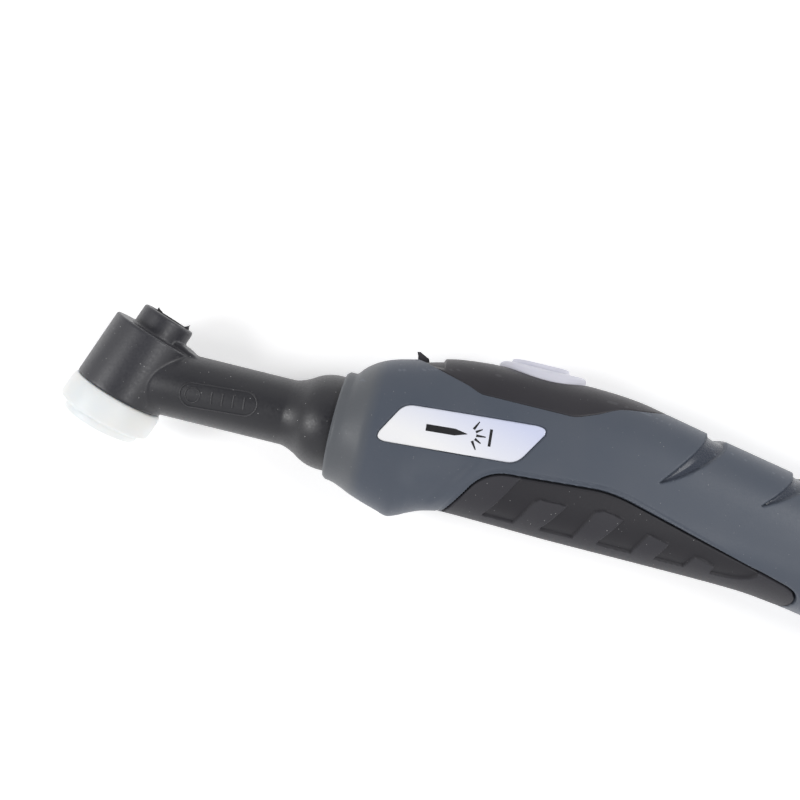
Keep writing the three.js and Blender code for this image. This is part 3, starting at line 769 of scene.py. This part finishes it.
def shell_depth(flat):
    """How deep the shell's surface lies under the form at each of its points."""
    x, y = flat[:, 0], flat[:, 1]
    depth = np.zeros(len(flat))
    pad = depth_inside(flat, PAD)
    clearance = 0.4 + 0.2 * ramp(x, 146, 151)
    depth += POCKET_DEPTH * ramp(pad, -clearance, -0.05)
    # A fine groove follows the grip pad's pocket and closes in on it towards the rear.
    follow = 1.1 - 0.6 * ramp(x, 112, 150)
    depth += GROOVE_DEPTH * np.exp(-((pad + follow) / GROOVE_WIDTH) ** 2)
    depth += LABEL_DEPTH * ramp(depth_inside(flat, LABEL), -0.28, 0.02)
    # A faint crease runs down from the label to the front of the pad.
    (foot_x, foot_y), (run_x, run_y) = CREASE_FOOT, CREASE_ALONG
    across = (x - foot_x) * run_y - (y - foot_y) * run_x
    along = (x - foot_x) * run_x + (y - foot_y) * run_y
    fading = ramp(across, -13, -1) * ramp(np.abs(along), 9, 5)
    depth += CREASE_DEPTH * fading * ramp(across, 1.1, -1.1)
    for scoop, (_, _, front_top, rear_top, _, _) in zip(NOTCHES, SCOOPS):
        within = depth_inside(flat, scoop)
        # Over the top, the rear wall runs out gently.
        gentle = ramp(HANDLE_TOP(x) - y, 1.6, 0) * ramp(x, front_top[0] + 1, rear_top[0] - 1)
        soft = 0.2 + 1.8 * gentle
        depth += SCOOP_DEPTH * ramp(within, -0.22, soft) + SCOOP_DISH * ramp(within, 0.2, 1.6)
    depth += rounded(near_line(flat, cover_border(), 1.0), 0.16)
    depth += rounded(np.abs(flat[:, 2]), 0.2)
    return depth


def shell_grids():
    """The outer and inner surface of one handle shell, on the near side."""
    xs = feature_stations()
    join = form_turn(xs, np.minimum(PATCH_JOIN, 0.9 * HANDLE_TOP(xs)))
    upper = even_turns(xs, cover_turn(xs), join, UPPER_ROWS)
    lower = even_turns(xs, join, np.full(len(xs), math.pi), LOWER_ROWS)
    turns = np.concatenate([upper, lower[:, 1:]], 1)
    base, normal = form_sheet(xs, turns)
    outer = sunk(base, normal, shell_depth(base.reshape(-1, 3)))
    # The wall thins towards the nose, where the neck's collar goes in.
    wall = np.clip(HANDLE_SIDE(xs) - 11.8, 0.6, WALL)
    inner = base - normal * wall[:, None, None]
    # The parting line: both surfaces stop a little short of the mid-plane.
    outer[..., 2] = np.maximum(outer[..., 2], SEAM)
    inner[..., 2] = np.maximum(inner[..., 2], SEAM)
    # The rear end is cut square to its tilt.
    for grid in (outer, inner):
        grid[..., 0] = np.minimum(grid[..., 0], rear_face(grid[..., 1]))
    return outer, inner


def sink_wells(grid, radius, seat):
    """Sinks a round well for each screw's head into a far side surface."""
    for x, y in SCREWS:
        reach = np.hypot(grid[..., 0] - x, grid[..., 1] - y)
        grid[..., 2] += (-seat - grid[..., 2]) * ramp(radius - reach, -0.15, 0.15)


def both_sides():
    """Each side's name, the sign of its Z and what mirrors near side points onto it."""
    for side, sign in (("left", 1), ("right", -1)):
        yield side, sign, np.array([1, 1, sign])


def build_shells():
    outer, inner = shell_grids()
    for side, sign, flip in both_sides():
        skin_outer, skin_inner = outer * flip, inner * flip
        if sign < 0:
            # The screws go in from the far side.
            sink_wells(skin_outer, WELL_RADIUS, SCREW_SEAT)
            sink_wells(skin_inner, WELL_RADIUS + WELL_WALL, SCREW_SEAT - SCREW_FLOOR)
        shell = thick_patch(side + "_handle_shell", skin_outer, skin_inner, 4)
        at = near_side(shell)
        # The scoops' floors get painted shade and a smoother finish.
        mark_painted_shade_inlay(shell, sum(ramp(depth_inside(at, scoop), -0.1, 0.15) for scoop in NOTCHES))
        finish_piece(shell, "torch", "handle_plastic", SLATE, side + "_shell")


def pad_recess(points):
    """How far points of the pad belong to the sunken field between its ribs."""
    field = depth_inside(points, PAD_FIELD)
    ribs = np.max([depth_inside(points, rib) for rib in PAD_RIBS], axis=0)
    return ramp(field, -0.15, 0.2) * (1 - ramp(ribs, -0.18, 0.18))


PAD_COLUMNS, PAD_ROWS = 420, 97
RIB_HEIGHT = 0.5
PAD_BACK = 1.75  # how deep its inner face lies under the form


def build_pads():
    knots = np.array(PAD_EDGE)
    lengths = np.r_[0, np.cumsum(np.linalg.norm(np.diff(knots, axis=0), axis=1))]
    at = np.linspace(0.02, lengths[-1] - 0.02, PAD_COLUMNS)
    xs, ys = np.interp(at, lengths, knots[:, 0]), np.interp(at, lengths, knots[:, 1])
    ys = np.maximum(ys, HANDLE_BOTTOM(xs) + 0.02)
    first = form_turn(xs, ys)
    turns = even_turns(xs, first, np.full(len(xs), math.pi), PAD_ROWS)
    base, normal = form_sheet(xs, turns)
    flat = base.reshape(-1, 3)
    border = form_point(xs, first)
    depth = rounded(near_line(flat, border, 1.2), 0.55) + rounded(np.abs(flat[:, 2]), 0.3)
    depth += RIB_HEIGHT * pad_recess(flat)
    outer = sunk(base, normal, depth)
    inner = base - normal * PAD_BACK
    for grid in (outer, inner):
        grid[..., 2] = np.maximum(grid[..., 2], SEAM)
    for side, _, flip in both_sides():
        pad = thick_patch(side + "_rubber_grip", outer * flip, inner * flip, 3)
        # The sunken field between the ribs gets painted shade and a smoother finish.
        mark_painted_shade_inlay(pad, pad_recess(near_side(pad)))
        finish_piece(pad, "torch", "grip_rubber", RUBBER, side + "_grip_pad")


LABEL_COLUMNS, LABEL_ROWS = 120, 44
LABEL_FACE, LABEL_BACK = 0.26, 0.78  # how deep its two faces lie under the form
PRINT_FACE, PRINT_BACK = 0.235, 0.29


def build_labels():
    knots = np.array(LABEL + [LABEL[0]])
    left, right = knots[:, 0].min() + 0.02, knots[:, 0].max() - 0.02
    share = (1 - np.cos(np.linspace(0, math.pi, LABEL_COLUMNS))) / 2
    xs = left + (right - left) * share
    tops, bottoms = [], []
    for x in xs:
        hits = []
        for (x0, y0), (x1, y1) in zip(knots, knots[1:]):
            if (x0 - x) * (x1 - x) <= 0 and x0 != x1:
                hits.append(y0 + (y1 - y0) * (x - x0) / (x1 - x0))
        tops.append(max(hits))
        bottoms.append(min(hits))
    first, last = form_turn(xs, np.array(tops)), form_turn(xs, np.array(bottoms))
    turns = even_turns(xs, first, last, LABEL_ROWS)
    base, normal = form_sheet(xs, turns)
    # The edge's points, and on its two long sides the middles between them.
    border = [base[:, 0], base[:, -1], base[0], base[-1]]
    border += [(base[1:, end] + base[:-1, end]) / 2 for end in (0, -1)]
    edge = near_line(base.reshape(-1, 3), np.concatenate(border), 1.0)
    outer = sunk(base, normal, LABEL_FACE + 0.6 * rounded(edge, 0.3))
    inner = base - normal * LABEL_BACK
    for side, _, flip in both_sides():
        plate = thick_patch(side + "_label", outer * flip, inner * flip, 3)
        finish_piece(plate, "torch", "label_silver", LABEL_FOIL, side + "_label_plate")
        for i, stroke in enumerate(label_strokes()):
            mark = printed_stroke(f"{side}_label_mark_{i + 1}", stroke, flip)
            mark.data.materials.append(INK)
            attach(mark, "torch")


def label_strokes():
    """A plain picture of an electrode, its arc and the work: for each stroke, a list of
    (x, y, half width)."""
    tilt = math.radians(4.35)
    centre = np.array([77.8, 4.65])

    def at(u, v):
        return (centre[0] + u * math.cos(tilt) - v * math.sin(tilt),
                centre[1] + u * math.sin(tilt) + v * math.cos(tilt))

    strokes = [[(*at(-7.2, 0), 0.75), (*at(-0.8, 0), 0.75), (*at(1.9, 0), 0.06)]]
    for angle in (-60, -30, 0, 30, 60):
        a = math.radians(angle)
        near, far = 1.5, 3.1 if angle % 60 else 3.6
        strokes.append([(*at(2.4 + near * math.cos(a), near * math.sin(a)), 0.3),
                        (*at(2.4 + far * math.cos(a), far * math.sin(a)), 0.12)])
    strokes.append([(*at(7.0, -1.9), 0.3), (*at(7.0, 1.9), 0.3)])
    return strokes


def printed_stroke(name, stroke, flip):
    """A thin raised print on the label plate, along a stroke of changing width."""
    knots = np.array(stroke)
    lengths = np.r_[0, np.cumsum(np.linalg.norm(np.diff(knots[:, :2], axis=0), axis=1))]
    at = np.unique(np.r_[np.arange(0, lengths[-1], 0.3), lengths])
    path = np.stack([np.interp(at, lengths, knots[:, i]) for i in range(3)], -1)
    ahead = np.gradient(path[:, :2], axis=0)
    ahead /= np.linalg.norm(ahead, axis=1, keepdims=True)
    across = np.stack([-ahead[:, 1], ahead[:, 0]], -1)
    share = np.linspace(-1, 1, 7)
    flat = path[:, None, :2] + across[:, None] * (path[:, 2][:, None] * share)[..., None]
    turn = form_turn(flat[..., 0], flat[..., 1])
    base = form_point(flat[..., 0], turn)
    normal = form_normal(flat[..., 0], turn)
    face, back = base - normal * PRINT_FACE, base - normal * PRINT_BACK
    return thick_patch(name, face * flip, back * flip)


# ---- switch cover and button
BUTTON_A = 10.45  # half the button's length
BUTTON_B = 8.2  # half its width
BUTTON_CLEARANCE = 0.3
COVER_WALL = 2.2
COVER_GAP = 0.05
TAB_STEP = 0.75  # how far the tab in front of the cover is let in


def oval_prism(name, a, b, y0, y1, facets=128):
    """An upright oval prism round the button's axis."""
    angles = np.linspace(0, 2 * math.pi, facets, endpoint=False)
    ring = np.stack([BUTTON_X + a * np.cos(angles), np.zeros(facets), b * np.sin(angles)], -1)
    points = np.concatenate([ring + [0, y0, 0], ring + [0, y1, 0]])
    return mesh_object(name, points, prism_faces(facets))


def build_cover():
    ends = np.array(COVER_SPAN) + [0.12, -0.12]
    xs = np.r_[ends[0], np.arange(66, 125, 0.42), ends[1]]
    reach = cover_turn(xs) - 0.006
    turns = even_turns(xs, -reach, reach, 131)
    base, normal = form_sheet(xs, turns)
    flat = base.reshape(-1, 3)
    edge = cover_border()
    edge = np.concatenate([edge, edge * [1, 1, -1]])
    depth = rounded(np.maximum(near_line(flat, edge, 1.5) - COVER_GAP, 0), 0.25)
    depth += TAB_STEP * (1 - ramp(flat[:, 0], 71.4, 72.0)) * ramp(flat[:, 1], 17.4, 19.0)
    # The edge round the button's hole.
    off = (np.hypot((flat[:, 0] - BUTTON_X) / BUTTON_A, flat[:, 2] / BUTTON_B) - 1) * 9
    depth += np.where(flat[:, 1] > 16, rounded(np.abs(off), 0.8), 0)
    outer = sunk(base, normal, depth)
    inner = base - normal * COVER_WALL
    cover = thick_patch("trigger_cover", outer, inner, 3)
    hole = oval_prism("hole", BUTTON_A + BUTTON_CLEARANCE, BUTTON_B + BUTTON_CLEARANCE, 12, 30)
    combine(cover, hole, "DIFFERENCE")
    combine(cover, moulding_flash("burr", COVER_BURR, 1.6, 0.5), "UNION")
    smooth(cover)
    finish_piece(cover, "torch", "cover_plastic", CHARCOAL, "switch_cover")


def moulding_flash(name, outline_2d, middle, thickness):
    """A torn sliver of moulding flash: a ragged side-view outline, full thickness at its last three
    points, which are its root."""
    n = len(outline_2d)
    points = []
    for side in (-1, 1):
        for i, (x, y) in enumerate(outline_2d):
            wobble = 0.12 * math.sin(2.3 * i)
            share = 1.0 if i >= n - 3 else 0.35
            points.append((x, y, middle + wobble + side * thickness * share))
    return mesh_object(name, np.array(points), prism_faces(n))


# Torn flash at the front of the cover, seen from the side.
COVER_BURR = [(64.9, 21.3), (65.7, 21.4), (66.5, 21), (67.3, 20.6), (68, 20.3), (68.3, 19.5),
              (66.4, 18.9), (65.5, 19.4), (65.3, 20.4)]


def crown(x, z):
    """The height of the cover's surface over a point of the button."""
    top, bottom, power = HANDLE_TOP(x), HANDLE_BOTTOM(x), HANDLE_POWER(x)
    level = (1 - np.minimum(np.abs(z) / HANDLE_SIDE(x), 0.99) ** power) ** (1 / power)
    return (top + bottom) / 2 + (top - bottom) / 2 * level


FLANGE_RISE = 1.5  # how far the button's flange stands over the cover
TIER_RISE, TIER_DISH = 1.0, 0.7
TIER_CENTRE = BUTTON_X - 0.8
TIER_A, TIER_B = 7.1, 5.4
RIM_Y, SKIRT_Y = 19.6, 18.5  # the lip that holds the button in, and its underside
LIP = 0.85
SKIRT_HOLLOW = 2.6
STEM = [(1.6, 21.1), (1.4, 20.8), (1.4, 17.4), (1.1, 17.1)]  # as (radius, height)


def build_button():
    facets, rings = 160, 90
    share = np.linspace(0, 1, rings) ** 0.8
    angles = np.linspace(0, 2 * math.pi, facets, endpoint=False)
    s, a = np.meshgrid(share, angles, indexing="ij")
    x = BUTTON_X + BUTTON_A * s * np.cos(a)
    z = BUTTON_B * s * np.sin(a)
    y = crown(x, 0.96 * z) + FLANGE_RISE
    y -= rounded((1 - s) * BUTTON_B, 0.7)
    # A raised oval tier, dished, with a fine line inside its edge and one at its foot.
    step = 1 - np.hypot((x - TIER_CENTRE) / TIER_A, z / TIER_B)
    y += TIER_RISE * ramp(step, -0.02, 0.045) - TIER_DISH * ramp(step, 0.16, 0.5)
    y -= 0.3 * np.exp(-((step - 0.13) / 0.03) ** 2) + 0.26 * np.exp(-((step + 0.045) / 0.03) ** 2)

    def level_loop(height, grow_x, grow_z):
        """The button's outline at one height, made larger or smaller."""
        return np.stack([BUTTON_X + (x[-1] - BUTTON_X) * grow_x, np.full(facets, height),
                         z[-1] * grow_z], -1)

    wide = 1 + LIP / BUTTON_A
    loops = [np.stack([x[i], y[i], z[i]], -1) for i in range(1, rings)]
    loops += [level_loop(RIM_Y, 1, 1), level_loop(RIM_Y, wide, wide), level_loop(SKIRT_Y, wide, wide),
              level_loop(SKIRT_Y, 0.86, 0.82), level_loop(SKIRT_Y + SKIRT_HOLLOW, 0.86, 0.82)]
    loops += [np.stack([BUTTON_X + r * np.cos(angles), np.full(facets, h), r * np.sin(angles)], -1)
              for r, h in STEM]
    tip = (BUTTON_X, STEM[-1][1], 0)
    points = [np.array([[x[0, 0], y[0, 0], z[0, 0]]])] + loops + [np.array([tip])]
    faces = [[0, 1 + i, 1 + (i + 1) % facets] for i in range(facets)]
    for k in range(len(loops) - 1):
        p, q = 1 + k * facets, 1 + (k + 1) * facets
        faces += [[p + i, q + i, q + (i + 1) % facets, p + (i + 1) % facets] for i in range(facets)]
    last = 1 + (len(loops) - 1) * facets
    faces += [[last + i, last + facets, last + (i + 1) % facets] for i in range(facets)]
    button = mesh_object("push_button", np.concatenate(points), faces)
    finish_piece(button, "button", "button_plastic", BUTTON, "trigger_button")


def tube_along(name, path, radius, sides=12, closed=False):
    """A round wire along a path of points, closed at its ends or on itself."""
    path = np.asarray(path, float)
    n = len(path)
    ahead = np.roll(path, -1, 0) - np.roll(path, 1, 0)
    if not closed:
        ahead[0], ahead[-1] = path[1] - path[0], path[-1] - path[-2]
    ahead /= np.linalg.norm(ahead, axis=1, keepdims=True)
    helper = np.array([0.0, 0.0, 1.0]) if abs(ahead[0][2]) < 0.9 else np.array([0.0, 1.0, 0.0])
    sideways = np.cross(ahead, helper)
    sideways /= np.linalg.norm(sideways, axis=1, keepdims=True)
    upward = np.cross(sideways, ahead)
    turn = np.linspace(0, 2 * math.pi, sides, endpoint=False)[None, :, None]
    ring = np.cos(turn) * sideways[:, None] + np.sin(turn) * upward[:, None]
    points = path[:, None] + radius * ring
    faces = []
    for k in range(n if closed else n - 1):
        p, q = k * sides, ((k + 1) % n) * sides
        faces += [[p + i, p + (i + 1) % sides, q + (i + 1) % sides, q + i] for i in range(sides)]
    if not closed:
        faces += [list(range(sides)), list(range((n - 1) * sides, n * sides))]
    return mesh_object(name, points.reshape(-1, 3), faces)


DECK_TOP = 15.9  # the switch carrier's deck, on which the spring stands
SPRING_TOP = 21.0
SPRING_RADIUS = 3.3
SPRING_TURNS = 4.5
WIRE = 0.28  # the radius of the spring's wire


def build_spring():
    t = np.linspace(0, 1, 200)
    low, high = DECK_TOP + WIRE + 0.02, SPRING_TOP - WIRE
    # The end coils rise more slowly than the middle ones.
    rise = ramp(t, 0.0, 1.0) * 0.35 + t * 0.65
    angle = 2 * math.pi * SPRING_TURNS * t
    path = np.stack([BUTTON_X + SPRING_RADIUS * np.cos(angle), low + (high - low) * rise,
                     SPRING_RADIUS * np.sin(angle)], -1)
    spring = tube_along("return_spring", path, WIRE)
    finish_piece(spring, "torch", "steel", STEEL, "button_spring")
    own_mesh(spring)


# ---- head and neck
BARREL_R, BARREL_FOOT, BARREL_TOP = 10.5, -5.45, 10.9
BOSS_R, BOSS_TOP = 6.35, 16.0
NECK_R, NECK_END_X = 7.9, 38.5
COLLAR_R, COLLAR_END = 11.5, 66
HEAD_VOXEL = 0.27

# Profiles as (radius, height along the axis).
BARREL = eased([(0, BARREL_FOOT), (BARREL_R, BARREL_FOOT), (BARREL_R, BARREL_TOP),
                (BOSS_R, BARREL_TOP), (BOSS_R, 13.4)], 0.3)
BARREL += eased([(BOSS_R, 14.4), (BOSS_R, BOSS_TOP), (0, BOSS_TOP)], 1.0)
CUP_ROOM = [(0, -14), (BARREL_R, -14), (BARREL_R, BARREL_FOOT), (0, BARREL_FOOT)]
NECK = [
    (0, 1), (NECK_R, 1), (NECK_R, NECK_END_X),
    *bend_through((NECK_R, NECK_END_X), (8.3, 40.9), (9.9, 43.2), 8),
    *bend_through((9.9, 43.2), (11.3, 45.4), (COLLAR_R, 48.4), 8),
    (COLLAR_R, 60), (9.5, 60), (9.5, 63), (COLLAR_R, 63), (COLLAR_R, COLLAR_END), (0, COLLAR_END),
]
HEAD_BORE = [(0, -6.5), (7, -6.5), (7, 9), (5.5, 9), (5.5, 15.0), (4.5, 15.0), (5.15, 16.1),
             (5.15, 17), (0, 17)]
TUBE_CHANNEL = [(0, 2), (5.6, 2), (5.6, 68), (0, 68)]


def build_head():
    head = turned_object("torch_head", BARREL, about_head, 128)
    seat = turned_object("seat", CUP_ROOM, about_head, 96)
    arm = turned_object("arm", NECK, about_neck, 128)
    combine(arm, seat, "DIFFERENCE")
    combine(head, arm, "UNION")
    combine(head, gusset(), "UNION")
    # The remesh and the smoothing blend the pieces into one moulding.
    fuse = head.modifiers.new("fuse", "REMESH")
    fuse.mode = "VOXEL"
    fuse.voxel_size = HEAD_VOXEL * MM
    ease = head.modifiers.new("ease", "SMOOTH")
    ease.factor = 0.5
    ease.iterations = 7
    apply_modifiers(head)
    for mark in neck_marks():
        combine(head, mark, "UNION")
    combine(head, turned_object("bore", HEAD_BORE, about_head, 96), "DIFFERENCE")
    combine(head, turned_object("channel", TUBE_CHANNEL, about_neck, 64), "DIFFERENCE")
    for torn in BORE_FLASH:
        combine(head, moulding_flash("torn", torn, 0.3, 0.35), "UNION")
    smooth(head, 50)
    # The inside of the back cap's opening gets painted shade and a rougher finish.
    at = near_side(head) @ np.array(Matrix.Rotation(-HEAD_LEAN, 3, "Z"))
    radius = np.hypot(at[:, 0], at[:, 2])
    mark_painted_shade_inlay(head, ramp(radius, 5.3, 4.9) * ramp(at[:, 1], 9, 10))
    finish_piece(head, "torch", "head_compound", HEAD, "head_moulding")


# Torn flash at the two ends of the back cap's opening, seen from the side.
BORE_FLASH = [
    [(2.1, 17), (2.6, 16.5), (3.2, 16.1), (3.2, 15.4), (2.3, 15.7), (1.9, 16.3)],
    [(10.5, 14.6), (10.3, 14.1), (10.4, 13.5), (9.5, 13.5), (9.3, 13.9), (9.8, 14.1)],
]


def gusset():
    """The web between the boss and the neck."""
    side = [(8.5, 9.8), (8.5, 4), (15, 4), (15, 7.2), (14.1, 7.8), (12.6, 8.4), (10.7, 9.5)]
    points = [(x, y, z) for z in (-3.6, 3.6) for x, y in side]
    return mesh_object("web", points, prism_faces(len(side)))


def on_neck(u, v):
    """A point on the neck's near side, u along a stadium mark and v across it."""
    tilt = math.radians(4.3)
    x = 23.4 + u * math.cos(tilt) - v * math.sin(tilt)
    y = -0.9 + u * math.sin(tilt) + v * math.cos(tilt)
    return x, y, math.sqrt(NECK_R ** 2 - y ** 2)


def neck_marks():
    """A raised stadium outline on the neck, holding a ring and four plain bars."""
    half, radius, thick = 6.25, 2.7, 0.2
    bend = np.linspace(-math.pi / 2, math.pi / 2, 14)
    straight = np.linspace(-half, half, 26)[1:-1]
    loop = [(u, -radius) for u in straight]
    loop += [(half + radius * math.cos(a), radius * math.sin(a)) for a in bend]
    loop += [(-u, radius) for u in straight]
    loop += [(-half - radius * math.cos(a), -radius * math.sin(a)) for a in bend]
    marks = [tube_along("mark", [on_neck(u, v) for u, v in loop], thick, 8, closed=True)]
    angles = np.linspace(0, 2 * math.pi, 24, False)
    ring = [on_neck(-6 + 1.7 * math.cos(a), 1.7 * math.sin(a)) for a in angles]
    marks.append(tube_along("mark", ring, 0.17, 8, closed=True))
    for u in (-1.6, 0.9, 3.4, 5.9):
        bar = [on_neck(u, v) for v in np.linspace(-1.4, 1.4, 8)]
        marks.append(tube_along("mark", bar, thick, 8))
    return marks


GASKET_PROFILE = [(7, -5.49), (10.62, -5.49), (11.05, -7.2), (11.05, -11.7), (9.1, -12.1), (9, -14),
                  (5.6, -14), (5.6, -9.3), (7, -9.3)]
GROMMET_PROFILE = [(8, -9), (10.7, -9), (10.7, -7.3), (9.7, -7.3), (9.7, 0.3), (11.5, 0.3),
                   (11.5, 2.8), (8, 2.8)]


def build_gasket():
    profile = closed_on_itself(eased(GASKET_PROFILE, 0.7, 6))
    gasket = turned_object("white_gasket", profile, about_head, 128)
    finish_piece(gasket, "torch", "gasket_white", GASKET, "cup_gasket")


def build_grommet():
    profile = closed_on_itself(eased(GROMMET_PROFILE, 0.7, 5))
    grommet = turned_object("cable_bush", profile, about_rear)
    finish_piece(grommet, "torch", "switch_plastic", SWITCH_BLACK, "cable_grommet")


# ---- the CAD pieces that stay
CAD_FINISHES = [
    (BRASS, ["torch_core", "gas_union", "water_union", "power_union", "switch_terminal_1",
             "switch_terminal_2"]),
    (COPPER, ["gas_tube", "water_tube", "power_tube"]),
    (SWITCH_BLACK, ["switch_carrier", "microswitch_body"]),
    (PLUNGER_RED, ["microswitch_plunger"]),
    (STEEL, ["shell_screw_1", "shell_screw_2", "shell_screw_3", "shell_screw_4"]),
]


def dress_cad():
    for finish, names in CAD_FINISHES:
        for name in names:
            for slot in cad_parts[name].material_slots:
                slot.material = finish


add_camera()
add_stage()
build_shells()
build_pads()
build_labels()
build_cover()
build_button()
build_spring()
build_head()
build_gasket()
build_grommet()
dress_cad()

bpy.context.view_layer.update()
